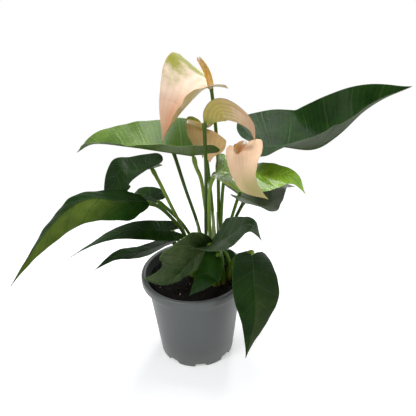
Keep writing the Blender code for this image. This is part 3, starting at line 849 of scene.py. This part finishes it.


# Each look: name, side veins, then the upper face and the underside, each as deep and fresh green,
# vein, gloss, relief depth, vein strength, coat and specular. The upper face may add painted light (a second
# colour, painted sheen on some blades and painted shade on others) and an edge.
DARK_UNDER = ((0.05, 0.078, 0.014), (0.08, 0.118, 0.022), (0.1, 0.14, 0.04), 0.4, 0.0004, 0.4, 0.0)
GREY_UNDER = ((0.045, 0.065, 0.03), (0.07, 0.095, 0.045), (0.1, 0.14, 0.06), 0.4, 0.0004, 0.4, 0.0)
LEAF_SKINS = [
    # fresh: a young leaf's light green, partly its own and partly raised to paint the light shining through
    # it. Its second colour is painted shade on the base half and the lobes.
    ("fresh", 7,
     ((0.2, 0.385, 0.01), (0.32, 0.54, 0.045), (0.28, 0.42, 0.06), 0.08, 0.0009, 0.35, 0.4, 0.2),
     ((0.09, 0.17, 0.01), (0.13, 0.22, 0.02), (0.2, 0.3, 0.06), 0.36, 0.0004, 0.5, 0.0, 0.3),
     ((0.02, 0.058, 0.0004), False, 0.6, 0.44)),
    # mid: the paler outer blade and the darker, fuller green of the base (its second colour) paint the sheen
    # that lies on the outer blade only.
    ("mid", 9,
     ((0.06, 0.125, 0.006), (0.13, 0.225, 0.03), (0.24, 0.36, 0.1), 0.26, 0.0004, 0.3, 0.1, 0.2),
     ((0.06, 0.115, 0.01), (0.095, 0.16, 0.02), (0.15, 0.21, 0.07), 0.42, 0.0004, 0.5, 0.0, 0.05),
     ((0.03, 0.095, 0.001), False, 0.68, 0.5)),
    # front: its second colour paints a grey sheen on the lobes at the base.
    ("front", 10,
     ((0.004, 0.019, 0.0008), (0.01, 0.035, 0.003), (0.045, 0.085, 0.02), 0.24, 0.0006, 0.25, 0.02,
      0.04),
     (*DARK_UNDER, 0.12), ((0.034, 0.055, 0.03), False, 0.22, 0.04)),
    ("dark", 10,
     ((0.004, 0.021, 0.0008), (0.012, 0.043, 0.004), (0.045, 0.085, 0.02), 0.22, 0.0005, 0.25, 0.03,
      0.06),
     (*DARK_UNDER, 0.12)),
    # ridge: its second colour paints an olive sheen on the left half towards the tip.
    ("ridge", 10,
     ((0.004, 0.021, 0.0008), (0.012, 0.043, 0.004), (0.045, 0.085, 0.02), 0.28, 0.001, 0.25, 0.01,
      0.01),
     (*DARK_UNDER, 0.3), ((0.09, 0.132, 0.021), True, 0.42, 0.66)),
    # hang: its second colour paints a sheen on the left half towards the tip.
    ("hang", 10,
     ((0.004, 0.019, 0.0008), (0.011, 0.038, 0.004), (0.045, 0.085, 0.02), 0.26, 0.0007, 0.3, 0.03,
      0.04),
     (*DARK_UNDER, 0.12), ((0.04, 0.062, 0.018), True, 0.4, 0.85)),
    ("broad", 10,
     ((0.0045, 0.023, 0.001), (0.013, 0.046, 0.005), (0.06, 0.11, 0.03), 0.28, 0.0003, 0.3, 0.02,
      0.04),
     ((0.03, 0.05, 0.016), (0.046, 0.07, 0.024), (0.07, 0.1, 0.04), 0.42, 0.0003, 0.4, 0.0, 0.05)),
    # sheen: greens dulled towards grey to paint a soft sheen.
    ("sheen", 9,
     ((0.018, 0.044, 0.012), (0.046, 0.082, 0.032), (0.09, 0.13, 0.06), 0.26, 0.0005, 0.25, 0.12, 0.2),
     (*GREY_UNDER, 0.2)),
    # grey: grey-green that paints the white room's reflection on blades seen at a grazing angle.
    ("grey", 9,
     ((0.06, 0.085, 0.04), (0.1, 0.13, 0.065), (0.09, 0.12, 0.06), 0.3, 0.0005, 0.25, 0.1, 0.3),
     (*GREY_UNDER, 0.3)),
    # olive: dark green in patches of olive that paint a warm sheen; the pale edge is the margin's own.
    ("olive", 10,
     ((0.016, 0.044, 0.005), (0.078, 0.115, 0.034), (0.12, 0.17, 0.05), 0.28, 0.0014, 0.3, 0.12, 0.2),
     ((0.045, 0.07, 0.018), (0.075, 0.105, 0.03), (0.1, 0.14, 0.05), 0.4, 0.0004, 0.4, 0.0, 0.3), None,
     (0.16, 0.26, 0.06)),
    ("small", 7,
     ((0.006, 0.027, 0.0014), (0.016, 0.052, 0.005), (0.05, 0.1, 0.02), 0.22, 0.0005, 0.25, 0.02,
      0.05),
     ((0.038, 0.065, 0.014), (0.058, 0.095, 0.022), (0.1, 0.15, 0.04), 0.4, 0.0004, 0.4, 0.0, 0.3)),
]
LEAF_LOOKS = {}
for look, veins, upper, under, *second in LEAF_SKINS:
    LEAF_LOOKS[look] = (leaf_material("leaf_" + look, veins, *upper, *second),
                        leaf_material("leaf_%s_under" % look, veins, *under))


# Each leaf: name, look, look of its stalk, stalk (foot on the soil, then points up to the blade), rib
# from the stalk to the tip, the way its upper side looks at the root, twist in degrees, half width,
# folds of its right and its left half (degrees up from flat at the lobes, the middle and the tip),
# and what is special.
LEAVES = [
    ("leaf_1", "mid", "bright", [(25.2, 0.9), (16, 0, 180), (12, 2, 220), (7, 5, 235), (4.7, 8.3, 245.5)],
     [(4, 8, 247), (-25, 7, 253), (-61, 13, 257), (-98, 21, 258), (-120, 32, 244)],
     (0, -0.08, 1), 5, 42, ((28, 22, 42), (46, 33, 36)), dict(lobe=(0.4, 1.3), narrow=(1.1, 1.08),
      spread=(0, 0.7), veins=10, sunk=0.16, wave=0.9)),
    ("leaf_2", "broad", "green", [(29.1, 21.2), (44, 21, 163), (54, 22, 196), (69, 28, 229),
     (76.4, 30.8, 242.7)],
     [(79, 30, 244), (99, 33, 243), (133, 34, 238), (160, 43, 249), (195, 48, 281), (242, 68, 293)],
     (0.01, 0.01, 1), -26, 60, ((7, 58, 52), (8, 15, 43)), dict(lobe=0.61, narrow=(1, 1.2), ease=0.07,
      smooth=5, veins=11, sunk=0.14, wave=0.4)),
    ("leaf_3", "fresh", "bright", [(18.8, -11.1), (19, -19, 183), (19, -20, 204), (21, -18, 225),
     (26.3, -15, 237.7)],
     [(27, -16, 239), (67, -22, 237), (101, -26, 236), (115, -32, 220)],
     (-0.01, -0.03, 1), -19, 30.5, ((32, -8, -3), (16, -7, 16)), dict(lobe=0.1, narrow=(1.04, 1.07),
      veins=8, sunk=0.5, wave=1.1)),
    ("leaf_4", "grey", "dark", [(34.9, 25.8), (42, 29, 138), (48, 29, 156), (58.8, 24.1, 183.4)],
     [(58, 24, 186), (81, 33, 171), (97, 49, 189), (121, 68, 175)],
     (0, 0.1, 0.99), -11, 30.5, ((-1, 15, -26), (29, 29, 3)), dict(lobe=1.54, narrow=(0.99, 1.1), veins=9,
      sunk=0.3)),
    ("leaf_5", "sheen", "green", [(32.3, -9.6), (30, -17, 143), (20, -25.4, 158.5)],
     [(15, -26, 157), (37, -31, 171), (60, -37, 190), (72, -40, 171)],
     (0.01, 0.19, 0.98), -17, 23.5, ((31, -14, -16), (20, 34, -4)), dict(lobe=(0.5, 0.3), narrow=(1.16, 1),
      push=(0, 0.3), smooth=3, veins=8, sunk=0.3)),
    ("leaf_6", "olive", "green", [(23.2, -13.3), (25, -16, 139), (25.7, -16.6, 148.1)],
     [(23, -19, 152), (3, -26, 144), (-17, -33, 125), (-33, -41, 122), (-51, -48, 133)],
     (-0.15, -0.72, 0.68), 0, 34.5, ((77, 58, 50), (-37, -32, -10)), dict(lobe=0.3, narrow=(1.2, 0.34),
      smooth=9, push=(0.08, 0.1), slant=(0.1, 0), full=(0.26, 0), veins=10, sunk=0.9, wave=1.4)),
    ("leaf_7", "dark", "green", [(27.3, -11.7), (28, -20, 130), (27.8, -36.9, 155)],
     [(25, -40, 152), (16, -43, 136), (9, -51, 131), (-5, -58, 117)],
     (-0.01, -0.19, 0.98), 10, 18.5, ((-3, -7, 3), (29, -4, -5)), dict(lobe=0.59, narrow=(0.98, 1.09),
      veins=8, sunk=0.3)),
    ("leaf_8", "hang", "bright", [(39.3, -2.1), (45, -10, 128), (52, -21, 142), (62, -38.4, 156.3)],
     [(62, -42, 155), (63, -60, 130), (63, -72, 98), (53, -82, 50)],
     (0.5, -0.78, 0.38), -4, 28, ((29, -7, 2), (-31, 24, -16)), dict(curl=(-5, -19), lobe=0.15,
      narrow=(1, 1.15), smooth=2.5, veins=9, sunk=0.3)),
    ("leaf_9", "ridge", "dark", [(5.9, 5.5), (-10, 1, 158), (-23, -5, 183), (-34, -8, 197),
     (-45, -12.3, 204.8)],
     [(-45, -13, 206), (-74, -25, 215), (-99, -38, 225), (-123, -51, 217), (-154, -59, 183),
      (-182, -68, 145)],
     (0, 0.02, 1), -7, 28, ((13, -12, -9), (-9, -37, -29)), dict(lobe=(0.22, 0.3), narrow=(1.05, 0.95),
      push=(0.1, 0.12), smooth=4, veins=11, sunk=0.6, wave=1.3)),
    ("leaf_10", "front", "bright", [(2.1, 8.3), (-12, 11, 159), (-23, 15, 186), (-34, 24, 209),
     (-41.3, 31, 221.6)],
     [(-43, 33, 222), (-66, 32, 220), (-77, 29, 220), (-91, 27, 187), (-89, 27, 160)],
     (0, 0.2, 0.98), 37, 26.5, ((31, 9, 6), (25, -20, -14)), dict(lobe=0.73, narrow=(0.98, 1.07), veins=9,
      sunk=0.4, wave=1.2, waves=2.2)),
    ("leaf_11", "small", "green", [(9.4, 16.1), (-7, 24, 147), (-24, 31, 167), (-37.8, 35.1, 178.4)],
     [(-40, 37, 180), (-49, 48, 180), (-65, 57, 178), (-79, 67, 160)],
     (0, -0.04, 1), 3, 14, ((22, 17, 12), (3, -8, 0)), dict(lobe=0.62, narrow=(1.02, 0.97))),
    ("leaf_12", "small", "green", [(-2.5, 4.8), (-16, 8, 143), (-21.2, 9.6, 153)],
     [(-26, 10, 156), (-60, 10, 158), (-89, 12, 152), (-120, 14, 135), (-142, 16, 120)],
     (0, -0.04, 1), -4, 15, ((11, 10, -3), (-25, -14, 2)), dict(lobe=0.7, narrow=(1.02, 0.98), full=-0.07)),
    ("leaf_13", "small", "dark", [(1.8, -3.6), (-13, 3, 134), (-22.9, 8.9, 140.7)],
     [(-27, 9, 141), (-58, 7, 130), (-87, 3, 129), (-113, 0, 112)],
     (0, 0.19, 0.98), 22, 16, ((5, 3, 12), (11, 4, -13)), dict(lobe=0.7, narrow=(1.02, 1.04))),
    ("leaf_14", "small", "green", [(42.3, 2.5), (38, 12, 119), (33.6, 19.2, 117.6)],
     [(37, 16, 115), (43, 12, 110), (47, 8, 105), (50, 3, 101)],
     (0.17, -0.51, 0.85), 0, 10, ((10, 5, 0), (10, 5, 0)), dict(lobe=0.7)),
    ("leaf_15", "grey", "dark", [(13.9, 13.1), (6, 19, 156), (-6, 29, 196), (-14, 40, 222),
     (-18.8, 46.4, 237.9)],
     [(-17, 48, 240), (-6, 62, 246), (8, 76, 237), (14, 86, 207)],
     (0, -0.1, 1), 0, 18, ((10, 10, 0), (10, 10, 0)), dict(lobe=0.7)),
]

LEAF_STALK_RADII = (2.5, 2.0, 1.9, 2.2)
for number, (name, look, stalk_look, stem, *shape) in enumerate(LEAVES):
    add_stalk(name, stalk_look, stem, shape[0][0], LEAF_STALK_RADII, "stem_of_" + name)
    mesh = blade_mesh("blade_of_" + name, number, *shape)
    leaf = add_object("blade_of_" + name, mesh, *LEAF_LOOKS[look])
    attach(leaf, "root")
    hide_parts(name)


# ---- Flowers ---------------------------------------------------------------------------------
# A flower is a waxy heart-shaped bract behind a finger-like spike set with tiny florets. The
# bracts are peach, turning green at their lobes as they age.
BRACT_VEINS = 8.0
BRACT_DEPTH, BRACT_SPECULAR, BRACT_COAT_ROUGHNESS = 0.00012, 0.22, 0.15


def bract_material(name, body, blush, green, green_from, green_at, gloss, line, strength, coat):
    """Bract skin: peach body, blush towards the tip, green that spreads in from the lobes."""
    material, tree = new_material(name)
    leaf, marks = marks_on(tree, BRACT_VEINS, Line=0.2)
    run, across, _ = axes(leaf)
    colour = mix_colour(ramp(run, 0.55, 0.90), body, blush)
    reach = add_node("ShaderNodeVectorMath", {0: leaf, 1: (*green_at, 0)}, operation="DISTANCE")
    wander = scaled(noise(object_place(tree), 45, 3), 0.11, across)
    stripes = maths("PINGPONG", times(wander, 1.3 * BRACT_VEINS), 0.5)
    stripes = times(ramp(stripes, 0.45, 0.0), scaled(marks["Mottle"], 1.6, -0.3))
    colour = mix_colour(times(stripes, 1.3 * strength), colour, line)
    ragged = maths("ADD", reach.outputs["Value"], scaled(marks["Mottle"], 0.5, -0.25))
    colour = mix_colour(ramp(ragged, green_from[1], green_from[0]), colour, green)
    colour = paint(colour, marks, [
        ("Veins", 0.25 * strength, line), ("Midrib", 0.5 * strength, line), ("Margin", 0.5, blush)])
    finish_surface(colour, scaled(marks["Mottle"], 0.15, gloss), marks["Height"], BRACT_DEPTH,
                   BRACT_SPECULAR, coat, BRACT_COAT_ROUGHNESS)
    return material


# Each look, upper face and underside: body, blush, green, how near and how far it spreads, from where
# on the blade, gloss, line colour and strength, and coat.
BRACT_SKINS = [
    (((0.93, 0.77, 0.62), (0.74, 0.45, 0.29), (0.29, 0.29, 0.02), (0.22, 0.42), (0.26, 1.0), 0.3,
      (0.5, 0.32, 0.16), 0.22, 0.15),
     # flower_1's underside: its cream raised above its own colour, painted light for the shaded band.
     ((0.8, 0.62, 0.27), (0.84, 0.58, 0.29), (0.4, 0.42, 0.07), (0.1, 0.4), (0.15, 0.5), 0.4,
      (0.36, 0.26, 0.1), 0.3, 0.15)),
    (((0.36, 0.33, 0.06), (0.66, 0.42, 0.26), (0.16, 0.24, 0.015), (0.12, 0.55), (0.2, 0.0), 0.1,
      (0.22, 0.16, 0.05), 0.3, 0.35),
     ((0.44, 0.36, 0.08), (0.7, 0.44, 0.27), (0.19, 0.25, 0.02), (0.1, 0.5), (0.1, 0.5), 0.12,
      (0.24, 0.14, 0.05), 0.4, 0.4)),
    # flower_3: peach-orange raised to paint the light that shines through the thin bract.
    (((0.95, 0.6, 0.28), (0.95, 0.6, 0.32), (0.36, 0.46, 0.08), (0.1, 0.36), (0.15, 1.0), 0.3,
      (0.5, 0.25, 0.1), 0.15, 0.15),
     ((0.7, 0.46, 0.2), (0.72, 0.48, 0.24), (0.3, 0.36, 0.1), (0.1, 0.4), (0.15, 1.0), 0.4,
      (0.45, 0.25, 0.16), 0.3, 0.15)),
    (((0.86, 0.6, 0.4), (0.34, 0.3, 0.11), (0.62, 0.3, 0.1), (0.04, 0.24), (0.18, 0.5), 0.3,
      (0.48, 0.25, 0.12), 0.18, 0.15),
     ((0.72, 0.54, 0.3), (0.6, 0.5, 0.26), (0.56, 0.4, 0.16), (0.04, 0.2), (0.18, 0.5), 0.4,
      (0.45, 0.25, 0.16), 0.3, 0.15)),
]
BRACT_LOOKS = {}
for number, (upper, under) in enumerate(BRACT_SKINS, 1):
    BRACT_LOOKS["flower_%d" % number] = (bract_material("bract_%d" % number, *upper),
                                         bract_material("bract_%d_under" % number, *under))


def spadix_material(name, base, tip, line):
    """Spike skin: colour from base to tip, with painted shade between the florets."""
    material, tree = new_material(name)
    grain = noise(object_place(tree), 260, 4, 0.6)
    rise = ramp(scaled(grain, 0.2, marked(tree, "share")), 0.05, 0.9)
    # Painted shade: the florets' feet and the core between them take the darker colour.
    gap = maths("SUBTRACT", 1.0, marked(tree, "unshaded"))
    colour = mix_colour(gap, mix_colour(rise, base, tip), line)
    finish_surface(colour, scaled(grain, 0.2, 0.42), grain, 0.0001, 0.4)
    return material


# Each spike: colour at its base, at its tip, and of the painted shade between the florets.
SPADIX_SKINS = [
    ((0.86, 0.55, 0.055), (0.93, 0.58, 0.055), (0.76, 0.42, 0.035)),
    ((0.6, 0.5, 0.12), (0.75, 0.55, 0.16), (0.5, 0.36, 0.08)),
    ((0.9, 0.66, 0.18), (0.95, 0.76, 0.28), (0.7, 0.48, 0.1)),
    ((0.8, 0.42, 0.12), (0.84, 0.5, 0.18), (0.66, 0.3, 0.07)),
]
SPADIX_LOOKS = {"flower_%d" % n: spadix_material("spike_%d" % n, *colours)
                for n, colours in enumerate(SPADIX_SKINS, 1)}

tree, given = new_tree("Set florets", "Geometry", {
    "Geometry": "Geometry", "Floret": "Object", "Size": 0.0006, "Material": "Material"})
outward = wire("GeometryNodeInputNormal", tree=tree)
points = wire("GeometryNodeMeshToPoints", {
    "Mesh": stored(given["Geometry"], "facing", outward, "FLOAT_VECTOR")})
facing, girth = [wire("GeometryNodeInputNamedAttribute", {"Name": name}, tree, data_type=kind)
                 for name, kind in (("facing", "FLOAT_VECTOR"), ("girth", "FLOAT"))]
turn = wire("FunctionNodeAlignRotationToVector", {"Vector": facing}, axis="Z")
floret = add_node("GeometryNodeObjectInfo", {"Object": given["Floret"]}).outputs["Geometry"]
floret_tree = close_geometry(given, wire("GeometryNodeInstanceOnPoints", {
    "Points": points, "Instance": floret, "Rotation": turn, "Scale": times(girth, given["Size"])}))

# A floret: (radius, height, share of the spike's colour against the painted shade between florets)
# from its foot up, in floret sizes.
FLORET_RINGS = ((1.00, -0.30, 0.0), (0.86, 0.10, 0.7), (0.50, 0.34, 1.0), (0.16, 0.26, 0.85))
FLORET_SIDES = 8
bm = bmesh.new()
unshaded = bm.verts.layers.float.new("unshaded")
rings = []
for radius, rise, tone in FLORET_RINGS:
    ring = []
    for k in range(FLORET_SIDES):
        a = 2 * pi * k / FLORET_SIDES
        squared = radius * (1.0 if k % 2 else 0.86)
        ring.append(bm.verts.new((squared * cos(a), squared * sin(a), rise)))
        ring[-1][unshaded] = tone
    rings.append(ring)
for low, high in zip(rings, rings[1:]):
    for k in range(FLORET_SIDES):
        j = (k + 1) % FLORET_SIDES
        bm.faces.new((low[k], low[j], high[j], high[k]))
bm.faces.new(rings[-1])
bm.faces.new(rings[0][::-1])
floret_shape = add_object("floret", mesh_of(bm, "floret"))

SPADIX_RADII = (2.9, 3.2, 2.8, 1.9)
FLORETS_ROUND, FLORET_PITCH = 15, 0.95
SPIKE_STEPS = 60
CORE_RINGS, CORE_SIDES, CORE_SHARE = 40, 24, 0.93


def spike_radius(share, least):
    """Radius of the spike, rounded off over its last tenth down to a least share of its area."""
    plain = float(np.interp(share, np.linspace(0, 1, 4), SPADIX_RADII))
    return plain * sqrt(max(least, 1 - max(0.0, (share - 0.9) / 0.1) ** 2))


def spike_points(name, points):
    """A bare mesh of points in staggered rows on the spike, each with its girth and share of the length."""
    path, length = smooth_path(points, SPIKE_STEPS)
    rows = max(6, int(length / FLORET_PITCH))
    tangents, sides = carry(path, (0.3, 1, 0.2))
    verts, faces, girths, shares = [], [], [], []
    for i in range(rows + 1):
        share = i / rows
        k = min(int(share * (SPIKE_STEPS - 1)), SPIKE_STEPS - 2)
        f = share * (SPIKE_STEPS - 1) - k
        centre = path[k] * (1 - f) + path[k + 1] * f
        up = np.cross(sides[k], tangents[k])
        r = spike_radius(share, 0.06)
        for n in range(FLORETS_ROUND):
            a = 2 * pi * (n + 0.5 * (i % 2)) / FLORETS_ROUND
            verts.append((centre + r * (sides[k] * cos(a) + up * sin(a))) * MM)
            girths.append(r / max(SPADIX_RADII))
            shares.append(share)
            if i < rows:
                j, row = (n + 1) % FLORETS_ROUND, i * FLORETS_ROUND
                faces.append((row + n, row + j, row + FLORETS_ROUND + j, row + FLORETS_ROUND + n))
    mesh = bpy.data.meshes.new(name)
    mesh.from_pydata(verts, [], faces)
    for label, values in (("girth", girths), ("share", shares)):
        mesh.attributes.new(label, "FLOAT", "POINT").data.foreach_set("value", values)
    return mesh


# Each flower: name, slot of its bract, look of its stalk, stalk, spike, and the bract in the columns
# of a leaf's blade.
FLOWERS = [
    ("flower_1", "spathe_peach", "green",
     [(28.7, 14.4), (29, 16, 142), (30, 21, 227), (28, 23, 277), (24.6, 26.4, 314.1)],
     [(24.4, 21.3, 316.9), (20.3, 18.8, 332.5), (12.8, 8.1, 348.4)],
     [(23, 24, 314), (17, 17, 314), (10, 11, 310), (2, 4, 304), (-8, -3, 295), (-18, -9, 283),
      (-25, -13, 273)],
     (0.04, -0.95, 0.31), -1, 42.5, ((-45, -6, 0), (60, 128, 125)), dict(lobe=(0.95, 1), narrow=(1.14, 0.5),
      spread=(0, 0.7), ease=0.1, slant=(-0.09, 0), veins=8, sunk=0.12, wave=0.7, ridge=0.3)),
    ("flower_2", "spathe_green", "dark",
     [(14.6, -2), (15, -7, 170), (17, -18, 237), (17, -26, 277), (17, -29.7, 296.2)],
     [(21.3, -24.1, 294.3), (29.6, -18.2, 300.6), (38, -11.1, 300)],
     [(17, -27, 294), (17, -26, 307), (25, -24, 317), (38, -23, 317), (53, -21, 306), (64, -19, 290),
      (66, -17, 268)],
     (0.77, 0.64, -0.01), -17, 19.5, ((70, 60, 20), (47, 36, 20)), dict(lobe=-0.19, narrow=(0.75, 1.2),
      smooth=9, veins=7, sunk=0.1, wave=0.5, ridge=0.1)),
    ("flower_3", "spathe_peach", "green",
     [(25.4, 18.5), (23, 22, 168), (20, 26, 213), (17, 24, 250), (16, 14, 270), (16.6, 6, 277.5)],
     [(15, 1, 281), (7, -3, 286), (0, -6, 290)],
     [(17, 4, 278), (16, 7, 264), (17, 11, 249), (22, 15, 235)],
     (-0.1, -0.9, 0.4), 0, 20, ((0, 0, 0), (0, 0, 0)), dict(lobe=(0.8, 0.3), narrow=(0.95, 1.15),
      slant=(-0.45, 0.5), veins=7, sunk=0.12, wave=0.5, ridge=0.4)),
    ("flower_4", "spathe_peach", "green",
     [(29.1, 6.7), (31, 12, 148), (35, 20, 204), (41, 22, 227), (44, 17, 244), (47.4, -10.7, 264.3)],
     [(47.5, -19, 264.2), (50.7, -22.6, 270.6), (55.1, -32.8, 277.5)],
     [(49, -18, 262), (51, -38, 249), (56, -56, 242), (74, -70, 236)],
     (-0.28, -0.95, 0.16), -8, 20.5, ((5, -18, -8), (0, 18, 8)), dict(lobe=(0.9, 0.6), narrow=(0.66, 1.34),
      spread=(0.3, 0.5), veins=7, sunk=0.12, wave=0.5, ridge=0.4)),
]

FLOWER_STALK_RADII = (2.4, 2.0, 1.9, 1.9)
for number, (name, look, stalk_look, stem, spike, *shape) in enumerate(FLOWERS, 30):
    stalk_end = shape[0][0]
    add_stalk(name, stalk_look, stem, stalk_end, FLOWER_STALK_RADII, name + "_stem")
    mesh = blade_mesh("bract_of_" + name, number, *shape)
    bract = add_object("bract_of_" + name, mesh, *BRACT_LOOKS[name])
    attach(bract, "root")
    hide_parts(name + "_spathe")

    start, root = np.array(spike[0], float), np.array(stalk_end, float)
    points = [root + (start - root) * 0.3, *spike]
    core = tube("core_" + name, points, lambda share, *_: CORE_SHARE * spike_radius(share, 0.02),
                CORE_RINGS, CORE_SIDES)
    shares = [min(1.0, i // CORE_SIDES / (CORE_RINGS - 1)) for i in range(len(core.vertices))]
    core.attributes.new("share", "FLOAT", "POINT").data.foreach_set("value", shares)
    # The core between the florets lies wholly in the painted shade.
    core.attributes.new("unshaded", "FLOAT", "POINT")
    core.materials.append(SPADIX_LOOKS[name])
    florets = grow(spike_points("florets_" + name, points), floret_tree,
                   {"Floret": floret_shape, "Material": SPADIX_LOOKS[name]}, "spike_of_" + name)
    bm = bmesh.new()
    bm.from_mesh(florets.data)
    bm.from_mesh(core)
    bm.to_mesh(florets.data)
    bm.free()
    florets.data.shade_smooth()
    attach(florets, "root")
    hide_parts(name + "_spadix")
bpy.data.objects.remove(floret_shape)


# ---- Sheaths ---------------------------------------------------------------------------------
# Pale papery sheaths stand among the stalks, each the wrapping of a young shoot. They are thin and
# dry, widest at the soil, and close to a point.
SHEATH_RINGS, SHEATH_SIDES, SHEATH_GROOVE = 40, 14, 0.3
# Each sheath: name, foot on the soil, tip and radius.
SHEATHS = [
    ("sheath_1", (20.7, 7.2), (24, 14, 177), 2.6),
    ("sheath_2", (30, -4.3), (27, -6, 187), 2.3),
    ("sheath_3", (12, 8.1), (5, 7, 169), 2.2),
]

sheath_skin = stalk_material("sheath_skin", (0.17, 0.26, 0.07), (0.36, 0.42, 0.20), (0.24, 0.17, 0.09))
for name, foot, tip, radius in SHEATHS:
    points = [(*foot, SOIL_TOP - STALK_DEPTH), (*foot, SOIL_TOP + 14), tip]

    def taper(share, from_foot, from_end, radius=radius):
        return radius * (1.7 - 0.8 * share) * (1 - 0.85 * share ** 4) * (1 + 0.05 * sin(share * 9))

    mesh = tube("paper_" + name, points, taper, SHEATH_RINGS, SHEATH_SIDES, SHEATH_GROOVE)
    sheath = add_object("paper_" + name, mesh, sheath_skin)
    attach(sheath, "root")
    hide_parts(name)

low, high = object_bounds()
